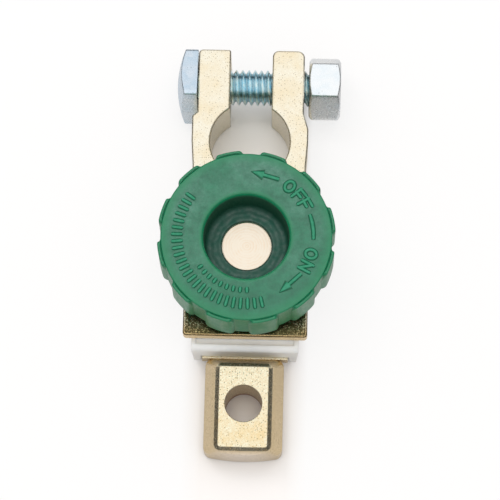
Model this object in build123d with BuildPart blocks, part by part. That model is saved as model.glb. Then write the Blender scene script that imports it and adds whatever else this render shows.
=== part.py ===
from build123d import *
import os
from math import cos, radians, sin, sqrt, tan

# Battery isolator: a post clamp carries a plate, and a cable terminal lies under it in a nylon
# body. A knob turns a brass stud that is threaded into the terminal and bridges it to the plate.
# Millimetres. The origin is on the battery post's axis at the clamp's underside, +Z is up
# and +Y points from the cable terminal to the clamp's lugs.

os.makedirs("parts", exist_ok=True)

# Post clamp: a ring that grips the battery post, with two lugs drawn together by a bolt
clamp_height = 14.0
post_bore_radius = 8.9
clamp_half_width = 13.0
neck_half_width = 12.6
neck_reach = 5.5
ring_back = 12.8
lug_gap = 9.4
lug_thickness = 7.2
lug_reach = 21.4
shoulder_reach = 6.7
shoulder_slope = 3.6
shoulder_blend = 2.5
ledge_drop = 0.9
ledge_depth = 1.1
cast_edge = 0.3
left_lug_corner = 1.0
right_lug_corner = 1.6
left_mouth_corner = 0.5
right_mouth_corner = 1.4

# Plate of the clamp casting, under the knob
knob_distance = 25.4
plate_beyond_knob = 19.15
plate_thickness = 3.0
plate_corner = 0.8
plate_flare = 7.0
recess_depth = 0.8
side_rim = 1.3
side_room = 0.95
end_rim = 1.9
recess_front_corner = 1.0
recess_rear_corner = 9.0

# Clamp bolt and nut, 8 mm thread
bolt_radius = 4.0
bolt_length = 30.0
bolt_reach = 14.55
bolt_height = 7.5
bolt_hole_clearance = 0.2
bolt_tip_chamfer = 0.9
head_overhang = 2.25
head_thickness = 4.6
head_turn = 18.0
head_corner = 0.7
head_face_radius = 3.9
head_dome_angle = 20.5
head_seat_gap = 0.2
nut_wall = 2.5
nut_thickness = 7.1
nut_stand_off = 1.1
nut_turn = -4.0
nut_chamfer = 0.9
nut_countersink = 0.45
thread_clearance = 0.05

# Nylon body: an upper insulator with cheeks beside the terminal, and a cover under it
body_draft = 0.5
body_lip = 2.65
lip_round = 1.3
lip_groove_width = 1.2
lip_groove_depth = 0.45
lip_groove_inset = 1.0
cheek_wall = 2.1
cheek_foot = 0.8
rear_wall = 1.0
body_gap = 0.3
seat_clearance = 0.15
slab_side_clearance = 0.2
collar_wall = 1.5
collar_drop = 0.2
collar_clearance = 0.3
cover_bottom = 0.4
cover_thickness = 1.5

# Cable terminal: a slab that runs under the plate and ends in a pad with a bolt hole
slab_bottom = 2.0
slab_thickness = 3.0
slab_width = 19.0
slab_straight = 11.0
tongue_radius = 8.5
stud_boss_radius = 7.0
stud_boss_height = 3.6
pad_start = 3.4
pad_length = 17.9
pad_half_width = 5.35
pad_height = 11.0
pad_bevel = 0.95
front_bevel = 0.75
front_bow = 0.05
pad_corner = 0.5
block_half_width = 8.7
block_shoulder = 4.6
block_bulge_height = 8.6
block_bulge_share = 0.3
block_rear_reach = 2.9
block_front_reach = 0.45
block_crown = 0.95
block_corner = 1.8
terminal_bore_radius = 4.1
terminal_bore_from_start = 8.25
terminal_bore_break = 0.1

# Brass stud, M10 by 1.5, with the washer that it presses on the plate
stud_thread_radius = 5.0
stud_tip_height = 2.4
stud_tip_chamfer = 0.8
journal_radius = 5.2
journal_run = 1.6
flange_radius = 9.3
flange_thickness = 1.6
anchor_across_flats = 12.6
anchor_height = 1.9
stud_end_radius = 5.3
stud_end_recess = 0.5
washer_radius = 11.4
washer_thickness = 1.2
groove_radius = 4.4
ring_thickness = 0.7
ring_radius = 6.0
ring_opening = 2.6
ring_clearance = 0.05

# Knob
knob_radius = 18.6
lobe_radius = 19.35
lobe_count = 12
lobe_turn = 13.0
lobe_half_angle = 8.8
lobe_foot_angle = 10.6
lobe_top_drop = 0.5
lobe_edge = 0.45
knob_height = 11.8
knob_top_edge = 0.6
dish_radius = 9.4
dish_foot_radius = 8.2
dish_depth = 8.8
dish_rim_edge = 0.5
dish_foot_edge = 0.9
dish_end_gap = 0.15
hub_wall = 2.0
skirt_wall = 2.4
roof_thickness = 2.6
rib_thickness = 1.2

# Four screws from below hold the cover, the insulator and the plate together, M3
screw_radius = 1.5
screw_head_radius = 2.8
screw_tip_height = 10.4
screw_slot_width = 0.7
screw_slot_depth = 0.6
screw_sink = 0.1
front_screw_inset = 3.9
front_screw_from_knob = 14.8
rear_screw_inset = 2.5
rear_screw_from_knob = 8.5
post_radius = 2.6
post_height = 4.0
spigot_radius = 2.3
spigot_gap = 0.1
screw_clearance = 0.15

# Places worked out from the sizes above
lug_outer = lug_gap / 2 + lug_thickness
head_across_flats = 2 * (bolt_radius + head_overhang)
nut_across_flats = 2 * (bolt_radius + nut_wall)
knob_y = -knob_distance
plate_end = knob_y - plate_beyond_knob
plate_bottom = clamp_height - plate_thickness
plate_floor = clamp_height - recess_depth
lip_end = plate_end - body_lip
body_rear = -(ring_back + body_gap)
slab_top = slab_bottom + slab_thickness
slab_ceiling = slab_top + seat_clearance
stud_boss_top = slab_top + stud_boss_height
pad_rear = lip_end - pad_start
pad_front = pad_rear - pad_length
block_rear = pad_rear + block_rear_reach
block_front = pad_front - block_front_reach
terminal_bore_y = pad_rear - terminal_bore_from_start
washer_top = plate_floor + washer_thickness
flange_top = washer_top + flange_thickness
knob_top = flange_top + knob_height
dish_floor = knob_top - dish_depth
stud_end = dish_floor - stud_end_recess
ring_top = plate_floor - ring_clearance
collar_radius = ring_radius + collar_clearance
collar_outer = collar_radius + collar_wall
plate_hole = collar_outer + body_gap
post_bottom = plate_bottom - post_height
hub_radius = dish_radius + hub_wall
cavity_half_width = slab_width / 2 + slab_side_clearance
body_half_width = cavity_half_width + cheek_wall
plate_width = 2 * (washer_radius + side_room + side_rim)
front_screw_x = cavity_half_width - front_screw_inset
rear_screw_x = cavity_half_width - rear_screw_inset
screw_places = [
    (front_screw_x, knob_y - front_screw_from_knob),
    (-front_screw_x, knob_y - front_screw_from_knob),
    (rear_screw_x, knob_y + rear_screw_from_knob),
    (-rear_screw_x, knob_y + rear_screw_from_knob),
]

# Clamp casting: ring, lugs and plate in one piece, brass plated
with BuildPart() as clamp_casting:
    with BuildSketch() as ring_plan:
        with BuildLine():
            Polyline(
                (0, lug_reach),
                (lug_outer, lug_reach),
                (lug_outer, shoulder_reach),
                (clamp_half_width, shoulder_reach - shoulder_slope),
                (clamp_half_width, 0),
                (neck_half_width, -neck_reach),
                (neck_half_width, -ring_back),
                (-neck_half_width, -ring_back),
                (-neck_half_width, -neck_reach),
                (-clamp_half_width, 0),
                (-clamp_half_width, shoulder_reach - shoulder_slope),
                (-lug_outer - ledge_depth, shoulder_reach - ledge_drop),
                (-lug_outer, shoulder_reach),
                (-lug_outer, lug_reach),
                close=True,
            )
        make_face()
        lug_corners = ring_plan.vertices().group_by(Axis.Y)[-1].sort_by(Axis.X)
        fillet(lug_corners[-1], right_lug_corner)
        lug_corners = ring_plan.vertices().group_by(Axis.Y)[-1].sort_by(Axis.X)
        fillet(lug_corners[0], left_lug_corner)
        right_shoulder = [
            corner
            for corner in ring_plan.vertices()
            if corner.X > 0 and 0 < corner.Y < bolt_reach
        ]
        fillet(right_shoulder, shoulder_blend)
        with Locations((0, lug_reach / 2)):
            Rectangle(lug_gap, lug_reach, mode=Mode.SUBTRACT)
        left_mouth = [
            corner
            for corner in ring_plan.vertices()
            if corner.Y > bolt_reach and abs(corner.X + lug_gap / 2) < 0.001
        ]
        fillet(left_mouth, left_mouth_corner)
        right_mouth = [
            corner
            for corner in ring_plan.vertices()
            if corner.Y > bolt_reach and abs(corner.X - lug_gap / 2) < 0.001
        ]
        fillet(right_mouth, right_mouth_corner)
        Circle(post_bore_radius, mode=Mode.SUBTRACT)
    extrude(amount=clamp_height)
    with BuildSketch(Plane.XY.offset(plate_bottom)) as plate_plan:
        with BuildLine():
            Polyline(
                (neck_half_width, -post_bore_radius - cast_edge),
                (neck_half_width, -ring_back),
                (plate_width / 2, -ring_back - plate_flare),
                (plate_width / 2, plate_end),
                (-plate_width / 2, plate_end),
                (-plate_width / 2, -ring_back - plate_flare),
                (-neck_half_width, -ring_back),
                (-neck_half_width, -post_bore_radius - cast_edge),
                close=True,
            )
        make_face()
        fillet(plate_plan.vertices().group_by(Axis.Y)[0], plate_corner)
    extrude(amount=plate_thickness)
    with BuildSketch(Plane.XY.offset(plate_floor)) as recess_plan:
        recess_length = -ring_back - plate_end - end_rim
        with Locations((0, plate_end + end_rim + recess_length / 2)):
            Rectangle(plate_width - 2 * side_rim, recess_length)
        fillet(recess_plan.vertices().group_by(Axis.Y)[0], recess_front_corner)
        fillet(recess_plan.vertices().group_by(Axis.Y)[-1], recess_rear_corner)
    extrude(amount=recess_depth, mode=Mode.SUBTRACT)
    with BuildSketch(Plane.XY.offset(post_bottom)) as posts:
        with Locations(*screw_places):
            Circle(post_radius)
    extrude(amount=post_height)
    with BuildSketch(Plane.XY.offset(post_bottom)) as post_holes:
        with Locations(*screw_places):
            Circle(screw_radius + thread_clearance)
    extrude(amount=screw_tip_height + 2 * screw_clearance - post_bottom, mode=Mode.SUBTRACT)
    with BuildSketch(Plane.XY.offset(plate_bottom)) as stud_hole:
        with Locations((0, knob_y)):
            Circle(plate_hole)
    extrude(amount=plate_thickness, mode=Mode.SUBTRACT)
    with BuildSketch(Plane.YZ.offset(-lug_outer)) as bolt_holes:
        with Locations((bolt_reach, bolt_height)):
            Circle(bolt_radius + bolt_hole_clearance)
    extrude(amount=2 * lug_outer, mode=Mode.SUBTRACT)
    top_face = clamp_casting.faces().filter_by(Axis.Z).sort_by(Axis.Z)[-1]
    chamfer(top_face.outer_wire().edges(), cast_edge)
clamp_casting.part.label = "clamp_casting"
export_step(clamp_casting.part, "parts/clamp_casting.step")

# Clamp bolt: square head, kept from turning by the ledge beside the left lug
head_seat = -lug_outer - head_seat_gap
with BuildPart() as clamp_bolt:
    with BuildSketch(Plane.YZ.offset(head_seat)) as head_section:
        with Locations((bolt_reach, bolt_height)):
            RectangleRounded(head_across_flats, head_across_flats, head_corner, rotation=-head_turn)
    extrude(amount=-head_thickness)
    with BuildSketch(Plane.XY.offset(bolt_height)) as head_envelope:
        with BuildLine():
            head_cone_radius = head_face_radius + head_thickness / tan(radians(head_dome_angle))
            Polyline(
                (head_seat, bolt_reach),
                (head_seat, bolt_reach + head_cone_radius),
                (head_seat - head_thickness, bolt_reach + head_face_radius),
                (head_seat - head_thickness, bolt_reach),
                close=True,
            )
        make_face()
    bolt_axis = Axis((0, bolt_reach, bolt_height), (1, 0, 0))
    revolve(axis=bolt_axis, mode=Mode.INTERSECT)
    with BuildSketch(Plane.YZ.offset(head_seat)) as shank_section:
        with Locations((bolt_reach, bolt_height)):
            Circle(bolt_radius)
    extrude(amount=bolt_length)
    chamfer(clamp_bolt.edges().sort_by(Axis.X)[-1], bolt_tip_chamfer)
clamp_bolt.part.label = "clamp_bolt"
export_step(clamp_bolt.part, "parts/clamp_bolt.step")

# Clamp nut: hexagon chamfered at both ends
nut_seat = lug_outer + nut_stand_off
with BuildPart() as clamp_nut:
    with BuildSketch(Plane.YZ.offset(nut_seat)) as nut_section:
        with Locations((bolt_reach, bolt_height)):
            RegularPolygon(nut_across_flats / 2, 6, major_radius=False, rotation=nut_turn)
            Circle(bolt_radius + thread_clearance, mode=Mode.SUBTRACT)
    extrude(amount=nut_thickness)
    nut_corner_radius = nut_across_flats / sqrt(3)
    nut_end_radius = nut_across_flats / 2 - nut_countersink
    with BuildSketch(Plane.XY.offset(bolt_height)) as nut_envelope:
        with BuildLine():
            Polyline(
                (nut_seat, bolt_reach),
                (nut_seat, bolt_reach + nut_end_radius),
                (nut_seat + nut_chamfer, bolt_reach + nut_corner_radius + nut_countersink),
                (nut_seat + nut_thickness - nut_chamfer, bolt_reach + nut_corner_radius + nut_countersink),
                (nut_seat + nut_thickness, bolt_reach + nut_end_radius),
                (nut_seat + nut_thickness, bolt_reach),
                close=True,
            )
        make_face()
    revolve(axis=bolt_axis, mode=Mode.INTERSECT)
    mouths = clamp_nut.edges().filter_by(GeomType.CIRCLE)
    mouths = mouths.filter_by(lambda edge: abs(edge.radius - bolt_radius - thread_clearance) < 0.001)
    chamfer(mouths, nut_countersink)
clamp_nut.part.label = "clamp_nut"
export_step(clamp_nut.part, "parts/clamp_nut.step")

# Upper insulator: a nylon channel between the plate and the terminal, with a collar round the stud
with BuildPart() as insulator:
    with BuildSketch(Plane.XY.offset(plate_bottom)) as body_top:
        with Locations((0, (lip_end + body_rear) / 2)):
            Rectangle(2 * body_half_width, body_rear - lip_end)
    with BuildSketch(Plane.XY.offset(cheek_foot)) as body_foot:
        with Locations((0, (lip_end + body_rear) / 2)):
            Rectangle(2 * (body_half_width - body_draft), body_rear - lip_end)
    loft()
    fillet(insulator.edges().filter_by(Axis.X).group_by(Axis.Y)[0].sort_by(Axis.Z)[-1], lip_round)
    with BuildSketch(Plane.XY.offset(plate_bottom)) as lip_groove:
        with Locations((0, plate_end - lip_groove_width / 2)):
            Rectangle(2 * (body_half_width - lip_groove_inset), lip_groove_width)
    extrude(amount=-lip_groove_depth, mode=Mode.SUBTRACT)
    with BuildSketch(Plane.XY) as channel:
        channel_rear = body_rear - rear_wall
        with Locations((0, (lip_end + channel_rear) / 2)):
            Rectangle(2 * cavity_half_width, channel_rear - lip_end)
    extrude(amount=slab_ceiling, mode=Mode.SUBTRACT)
    with BuildSketch(Plane.XY.offset(plate_bottom)) as collar:
        with Locations((0, knob_y)):
            Circle(collar_outer)
    extrude(amount=plate_floor - collar_drop - plate_bottom)
    with BuildSketch(Plane.XY) as stud_passage:
        with Locations((0, knob_y)):
            Circle(collar_radius)
    extrude(amount=clamp_height, mode=Mode.SUBTRACT)
    with BuildSketch(Plane.XY) as boss_pocket:
        with Locations((0, knob_y)):
            Circle(stud_boss_radius + seat_clearance)
    extrude(amount=stud_boss_top + seat_clearance, mode=Mode.SUBTRACT)
    with BuildSketch(Plane.XY.offset(slab_top)) as post_pockets:
        with Locations(*screw_places):
            Circle(post_radius + seat_clearance)
    extrude(amount=plate_bottom - slab_top, mode=Mode.SUBTRACT)
insulator.part.label = "insulator"
export_step(insulator.part, "parts/insulator.step")

# Cover under the terminal, with spigots that keep the screws off the terminal
with BuildPart() as bottom_cover:
    with BuildSketch(Plane.XY.offset(cover_bottom)) as cover_plan:
        cover_front = lip_end + seat_clearance
        cover_rear = channel_rear - seat_clearance
        with Locations((0, (cover_front + cover_rear) / 2)):
            Rectangle(2 * (cavity_half_width - seat_clearance), cover_rear - cover_front)
    extrude(amount=cover_thickness)
    with BuildSketch(Plane.XY.offset(cover_bottom)) as spigots:
        with Locations(*screw_places):
            Circle(spigot_radius)
    extrude(amount=post_bottom - spigot_gap - cover_bottom)
    with Locations(*[Location((x, y, cover_bottom), (180, 0, 0)) for x, y in screw_places]):
        CounterSinkHole(
            screw_radius + screw_clearance,
            screw_head_radius + screw_clearance,
            counter_sink_angle=90,
        )
bottom_cover.part.label = "bottom_cover"
export_step(bottom_cover.part, "parts/bottom_cover.step")

# Cable terminal: slab, threaded boss and bolt pad in one gold-plated casting
def block_outline(height, half_width, rear, front, crown, corner):
    """One level of the block: a rectangle whose free end bows out by the crown."""
    with BuildSketch(Plane.XY.offset(height)) as outline:
        with BuildLine():
            Polyline((-half_width, front), (-half_width, rear), (half_width, rear), (half_width, front))
            ThreePointArc((half_width, front), (0, front - crown), (-half_width, front))
        make_face()
        fillet(outline.vertices(), corner)
    return outline.sketch


with BuildPart() as terminal:
    with BuildSketch(Plane.XY.offset(slab_bottom)) as slab_plan:
        slab_end = lip_end + slab_straight
        with Locations((0, (block_rear + slab_end) / 2)):
            Rectangle(slab_width, slab_end - block_rear)
        with Locations((0, knob_y)):
            Circle(tongue_radius)
        make_hull()
    extrude(amount=slab_thickness)
    with BuildSketch(Plane.XY.offset(slab_top)) as stud_boss:
        with Locations((0, knob_y)):
            Circle(stud_boss_radius)
    extrude(amount=stud_boss_height)
    bevel_half_width = pad_half_width + pad_bevel
    bevel_rear = pad_rear + pad_bevel
    bevel_height = pad_height - pad_bevel
    bevel_front = pad_front - front_bevel
    bulge_half_width = bevel_half_width + block_bulge_share * (block_half_width - bevel_half_width)
    bulge_rear = bevel_rear + block_bulge_share * (block_rear - bevel_rear)
    foot_outline = block_outline(0, block_half_width, block_rear, block_front, block_crown, block_corner)
    shoulder_outline = foot_outline.moved(Location((0, 0, block_shoulder)))
    bulge_outline = block_outline(
        block_bulge_height, bulge_half_width, bulge_rear, block_front, block_crown, block_corner
    )
    bevel_outline = block_outline(
        bevel_height, bevel_half_width, bevel_rear, bevel_front, front_bow, pad_corner + pad_bevel
    )
    pad_outline = block_outline(pad_height, pad_half_width, pad_rear, pad_front, front_bow, pad_corner)
    extrude(foot_outline, amount=block_shoulder)
    loft([shoulder_outline, bulge_outline, bevel_outline, pad_outline], ruled=True)
    with BuildSketch(Plane.XY) as terminal_bore:
        with Locations((0, terminal_bore_y)):
            Circle(terminal_bore_radius)
    extrude(amount=pad_height, mode=Mode.SUBTRACT)
    with BuildSketch(Plane.XY.offset(slab_bottom)) as terminal_holes:
        with Locations((0, knob_y)):
            Circle(stud_thread_radius + thread_clearance)
        with Locations(*screw_places[:2]):
            Circle(spigot_radius + screw_clearance)
    extrude(amount=slab_thickness + stud_boss_height, mode=Mode.SUBTRACT)
    bore_rim = terminal.edges().filter_by(GeomType.CIRCLE).filter_by(
        lambda edge: abs(edge.radius - terminal_bore_radius) < 0.001
    )
    chamfer(bore_rim, terminal_bore_break)
terminal.part.label = "terminal"
export_step(terminal.part, "parts/terminal.step")

# Knob stud: threaded shank, washer journal, flange, hexagon held in the knob, and a turned end
with BuildPart() as knob_stud:
    with BuildSketch(Plane.XZ.offset(-knob_y)) as stud_section:
        with BuildLine():
            groove_bottom = ring_top - ring_thickness - ring_clearance
            Polyline(
                (0, stud_tip_height),
                (stud_thread_radius - stud_tip_chamfer, stud_tip_height),
                (stud_thread_radius, stud_tip_height + stud_tip_chamfer),
                (stud_thread_radius, groove_bottom - journal_run),
                (journal_radius, groove_bottom - journal_run + journal_radius - stud_thread_radius),
                (journal_radius, groove_bottom),
                (groove_radius, groove_bottom),
                (groove_radius, ring_top + ring_clearance),
                (journal_radius, ring_top + ring_clearance),
                (journal_radius, washer_top),
                (flange_radius, washer_top),
                (flange_radius, flange_top),
                (stud_end_radius, flange_top),
                (stud_end_radius, stud_end),
                (0, stud_end),
                close=True,
            )
        make_face()
    knob_axis = Axis((0, knob_y, 0), (0, 0, 1))
    revolve(axis=knob_axis)
    with BuildSketch(Plane.XY.offset(flange_top)) as anchor:
        with Locations((0, knob_y)):
            RegularPolygon(anchor_across_flats / 2, 6, major_radius=False)
    extrude(amount=anchor_height)
knob_stud.part.label = "knob_stud"
export_step(knob_stud.part, "parts/knob_stud.step")

# Contact washer: held between the stud's flange and the retaining ring, rises with the stud
with BuildPart() as contact_washer:
    with BuildSketch(Plane.XY.offset(plate_floor)) as washer_plan:
        with Locations((0, knob_y)):
            Circle(washer_radius)
            Circle(journal_radius + thread_clearance, mode=Mode.SUBTRACT)
    extrude(amount=washer_thickness)
contact_washer.part.label = "contact_washer"
export_step(contact_washer.part, "parts/contact_washer.step")

# Retaining ring: an open spring ring in the stud's groove
with BuildPart() as retaining_ring:
    with BuildSketch(Plane.XY.offset(ring_top - ring_thickness)) as ring_section:
        with Locations((0, knob_y)):
            Circle(ring_radius)
            Circle(groove_radius + ring_clearance, mode=Mode.SUBTRACT)
        with Locations((0, knob_y - ring_radius)):
            Rectangle(ring_opening, 2 * ring_radius, mode=Mode.SUBTRACT)
    extrude(amount=ring_thickness)
retaining_ring.part.label = "retaining_ring"
export_step(retaining_ring.part, "parts/retaining_ring.step")


# One grip lobe of the knob, with its ends sloping down to the knob's body
with BuildPart() as grip_lobe:
    with BuildSketch(Plane.XY.offset(flange_top)) as lobe_plan:
        with BuildLine():
            lobe_inside = knob_radius - lobe_edge
            lobe_tip = lobe_radius * cos(radians(lobe_half_angle))
            lobe_side = lobe_radius * sin(radians(lobe_half_angle))
            foot_tip = lobe_inside * cos(radians(lobe_foot_angle))
            foot_side = lobe_inside * sin(radians(lobe_foot_angle))
            ThreePointArc((lobe_tip, -lobe_side), (lobe_radius, 0), (lobe_tip, lobe_side))
            Polyline(
                (lobe_tip, lobe_side),
                (foot_tip, foot_side),
                (foot_tip, -foot_side),
                (lobe_tip, -lobe_side),
            )
        make_face()
    extrude(amount=knob_height - lobe_top_drop)
    chamfer(grip_lobe.edges().group_by(Axis.Z)[-1].sort_by(Axis.X)[-1], lobe_edge)

# Knob: a moulding with a dished face, grip lobes and a ribbed hollow underneath
with BuildPart() as knob:
    with BuildSketch(Plane.XY.offset(flange_top)) as knob_plan:
        with Locations((0, knob_y)):
            Circle(knob_radius)
    extrude(amount=knob_height)
    chamfer(knob.edges().group_by(Axis.Z)[-1], knob_top_edge)
    with Locations((0, knob_y)):
        with PolarLocations(0, lobe_count, start_angle=lobe_turn):
            add(grip_lobe.part)
    with BuildSketch(Plane.XZ.offset(-knob_y)) as dish_section:
        with BuildLine():
            Polyline(
                (0, knob_top),
                (dish_radius, knob_top),
                (dish_foot_radius, dish_floor),
                (0, dish_floor),
                close=True,
            )
        make_face()
    revolve(axis=knob_axis, mode=Mode.SUBTRACT)
    dish_circles = knob.edges().filter_by(GeomType.CIRCLE)
    chamfer(dish_circles.filter_by(lambda edge: abs(edge.radius - dish_radius) < 0.01), dish_rim_edge)
    dish_circles = knob.edges().filter_by(GeomType.CIRCLE)
    chamfer(dish_circles.filter_by(lambda edge: abs(edge.radius - dish_foot_radius) < 0.01), dish_foot_edge)
    with BuildSketch(Plane.XY.offset(flange_top)) as underside:
        with Locations((0, knob_y)):
            Circle(knob_radius - skirt_wall)
            Circle(hub_radius, mode=Mode.SUBTRACT)
            with PolarLocations(0, lobe_count // 2, start_angle=lobe_turn):
                Rectangle(
                    knob_radius, rib_thickness, align=(Align.MIN, Align.CENTER), mode=Mode.SUBTRACT
                )
    extrude(amount=knob_height - roof_thickness, mode=Mode.SUBTRACT)
    with BuildSketch(Plane.XY.offset(flange_top)) as anchor_seat:
        with Locations((0, knob_y)):
            RegularPolygon(anchor_across_flats / 2, 6, major_radius=False)
    extrude(amount=anchor_height, mode=Mode.SUBTRACT)
    with BuildSketch(Plane.XY.offset(flange_top)) as end_hole:
        with Locations((0, knob_y)):
            Circle(stud_end_radius + dish_end_gap)
    extrude(amount=knob_height, mode=Mode.SUBTRACT)
knob.part.label = "knob"
export_step(knob.part, "parts/knob.step")

# Screws: countersunk, with a slot for the screwdriver
screw_head_bottom = cover_bottom + screw_sink
for number, (x, y) in enumerate(screw_places, start=1):
    with BuildPart() as cover_screw:
        with BuildSketch(Plane.XZ.offset(-y)) as screw_section:
            with BuildLine():
                Polyline(
                    (x, screw_head_bottom),
                    (x + screw_head_radius, screw_head_bottom),
                    (x + screw_radius, screw_head_bottom + screw_head_radius - screw_radius),
                    (x + screw_radius, screw_tip_height - screw_slot_depth),
                    (x + screw_radius - screw_slot_depth, screw_tip_height),
                    (x, screw_tip_height),
                    close=True,
                )
            make_face()
        revolve(axis=Axis((x, y, 0), (0, 0, 1)))
        with BuildSketch(Plane.XY.offset(screw_head_bottom)) as slot:
            with Locations((x, y)):
                Rectangle(2 * screw_head_radius, screw_slot_width, rotation=30 * number)
        extrude(amount=screw_slot_depth, mode=Mode.SUBTRACT)
    cover_screw.part.label = f"cover_screw_{number}"
    export_step(cover_screw.part, f"parts/cover_screw_{number}.step")
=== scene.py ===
import math

import bpy
import numpy as np
from mathutils import Matrix, Vector


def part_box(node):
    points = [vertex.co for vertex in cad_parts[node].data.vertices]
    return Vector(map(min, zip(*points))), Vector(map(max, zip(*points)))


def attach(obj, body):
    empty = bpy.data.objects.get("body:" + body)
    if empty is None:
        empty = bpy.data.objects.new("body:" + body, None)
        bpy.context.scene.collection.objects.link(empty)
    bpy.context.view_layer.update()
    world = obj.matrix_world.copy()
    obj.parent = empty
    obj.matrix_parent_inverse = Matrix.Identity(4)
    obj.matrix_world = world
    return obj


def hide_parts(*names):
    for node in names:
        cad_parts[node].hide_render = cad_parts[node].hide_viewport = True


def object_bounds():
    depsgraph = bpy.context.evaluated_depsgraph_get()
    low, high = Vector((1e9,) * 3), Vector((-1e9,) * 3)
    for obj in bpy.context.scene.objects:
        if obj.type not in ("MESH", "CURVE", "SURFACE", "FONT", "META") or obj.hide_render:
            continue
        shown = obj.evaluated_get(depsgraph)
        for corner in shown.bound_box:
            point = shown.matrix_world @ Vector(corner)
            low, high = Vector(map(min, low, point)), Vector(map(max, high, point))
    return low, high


# Battery isolator: the green knob, its raised marks, the threaded bolt and the nut are made here,
# and the castings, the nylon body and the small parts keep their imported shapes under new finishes.
# Lengths in the dictionaries are millimetres, except under body, which holds the shader's own
# sockets. Meshes are metres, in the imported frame.

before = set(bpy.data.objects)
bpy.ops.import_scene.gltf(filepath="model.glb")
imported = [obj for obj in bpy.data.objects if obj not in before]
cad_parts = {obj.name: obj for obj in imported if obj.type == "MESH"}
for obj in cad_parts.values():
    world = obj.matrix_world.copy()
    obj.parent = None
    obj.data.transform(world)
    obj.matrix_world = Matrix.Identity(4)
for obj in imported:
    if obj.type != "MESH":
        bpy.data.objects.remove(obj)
cadLow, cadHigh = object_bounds()
mm = 0.001
partMiddle = (cadLow + cadHigh) / 2 / mm
knobLow, knobHigh = (np.array(corner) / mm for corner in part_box("knob"))
nutLow, nutHigh = (np.array(corner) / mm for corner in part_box("clamp_nut"))
boltLow, boltHigh = (np.array(corner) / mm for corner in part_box("clamp_bolt"))
knobAxis = (knobLow + knobHigh)[:2] / 2  # its X and Y; the axis is upright
boltAxis = (nutLow + nutHigh)[1:] / 2  # its Y and Z; the axis runs along X
print("frame loaded:", len(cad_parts), "nodes")


def placeObject(name, data):
    # A new object at the origin that holds the data
    thing = bpy.data.objects.new(name, data)
    bpy.context.scene.collection.objects.link(thing)
    return thing


# Camera at the photo's angle: nearly overhead, a little to the right, turned slightly
cameraView = {
    "azimuth": 3.48,
    "elevation": 75.48,
    "roll": 2.14,
    "distance": 595.3,
    "target": (0.66, -25.04, 14.0),
    "lens": 194.4,
    "nearClip": 10.0,
}


def makeCamera(view):
    # The camera stands at the target plus its distance times back, which points away from the part.
    # Its right and up are the level ones turned about back by the roll.
    azimuth, elevation, roll = (math.radians(view[k]) for k in ("azimuth", "elevation", "roll"))
    back = Vector((
        math.sin(azimuth) * math.cos(elevation),
        -math.cos(azimuth) * math.cos(elevation),
        math.sin(elevation),
    ))
    levelRight = (-back).cross(Vector((0, 0, 1))).normalized()
    levelUp = back.cross(levelRight)
    right = levelRight * math.cos(roll) - levelUp * math.sin(roll)
    up = levelUp * math.cos(roll) + levelRight * math.sin(roll)
    turn = Matrix((right, up, back)).transposed().to_4x4()
    place = (Vector(view["target"]) + back * view["distance"]) * mm
    data = bpy.data.cameras.new("photoCamera")
    data.lens = view["lens"]
    data.clip_start = view["nearClip"] * mm
    camera = placeObject("photoCamera", data)
    camera.matrix_world = Matrix.Translation(place) @ turn
    bpy.context.scene.camera = camera


makeCamera(cameraView)
bpy.context.scene.view_settings.view_transform = "Standard"
print("camera placed")


# Node helpers that the finishes and the studio share. The owner is a material or the world.
def startMaterial(name, **fixed):
    # A Principled material whose named sockets get fixed values
    material = bpy.data.materials.new(name)
    material.use_nodes = True
    shader = material.node_tree.nodes["Principled BSDF"]
    for socket, value in fixed.items():
        shader.inputs[socket.replace("_", " ")].default_value = value
    return material, shader


def addNode(owner, kind, values=None, **settings):
    # A node with these settings, and with these values on its sockets
    node = owner.node_tree.nodes.new(kind)
    for key, setting in settings.items():
        setattr(node, key, setting)
    for socket, value in (values or {}).items():
        node.inputs[socket].default_value = value
    return node


def join(owner, source, target):
    # A link from one node's output to another node's input
    owner.node_tree.links.new(source, target)


def placeNode(owner, centre=(0, 0, 0), stretch=(1, 1, 1)):
    # Object coordinates in metres, moved so that centre, in millimetres, is their origin, and then
    # stretched along each axis
    coordinates = addNode(owner, "ShaderNodeTexCoord")
    location = [-c * mm * s for c, s in zip(centre, stretch)]
    mapping = addNode(owner, "ShaderNodeMapping", {"Location": location, "Scale": stretch})
    join(owner, coordinates.outputs["Object"], mapping.inputs["Vector"])
    return mapping.outputs["Vector"]


def noiseNode(owner, place, grain, detail=4, rough=0.55, twist=0.0):
    # Noise whose features are about grain millimetres wide
    values = {"Scale": 1 / (grain * mm), "Detail": detail, "Roughness": rough, "Distortion": twist}
    noise = addNode(owner, "ShaderNodeTexNoise", values)
    join(owner, place, noise.inputs["Vector"])
    return noise.outputs["Fac"]


# Parts of a noise's range that the ramps spread out
broadPart = (0.3, 0.7)
middlePart = (0.35, 0.65)
narrowPart = (0.4, 0.6)


def rampNode(owner, value, ends, results=(0, 1), **settings):
    # Carries the two ends to the two results in a straight line, held flat outside
    sockets = ("From Min", "From Max", "To Min", "To Max")
    ramp = addNode(owner, "ShaderNodeMapRange", dict(zip(sockets, (*ends, *results))), **settings)
    join(owner, value, ramp.inputs["Value"])
    return ramp.outputs["Result"]


def spanNode(owner, length, ends, results=(0, 1)):
    # The same between two lengths in millimetres
    return rampNode(owner, length, [end * mm for end in ends], results)


def mixNode(owner, kind, sockets, share, first, second):
    # First times (1 - share) plus second times share, each a fixed value or another node's result
    mix = addNode(owner, "ShaderNodeMix", data_type=kind)
    for socket, value in zip(sockets, (first, second)):
        if isinstance(value, bpy.types.NodeSocket):
            join(owner, value, mix.inputs[socket])
        else:
            mix.inputs[socket].default_value = value
    join(owner, share, mix.inputs[0])
    return mix


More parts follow.
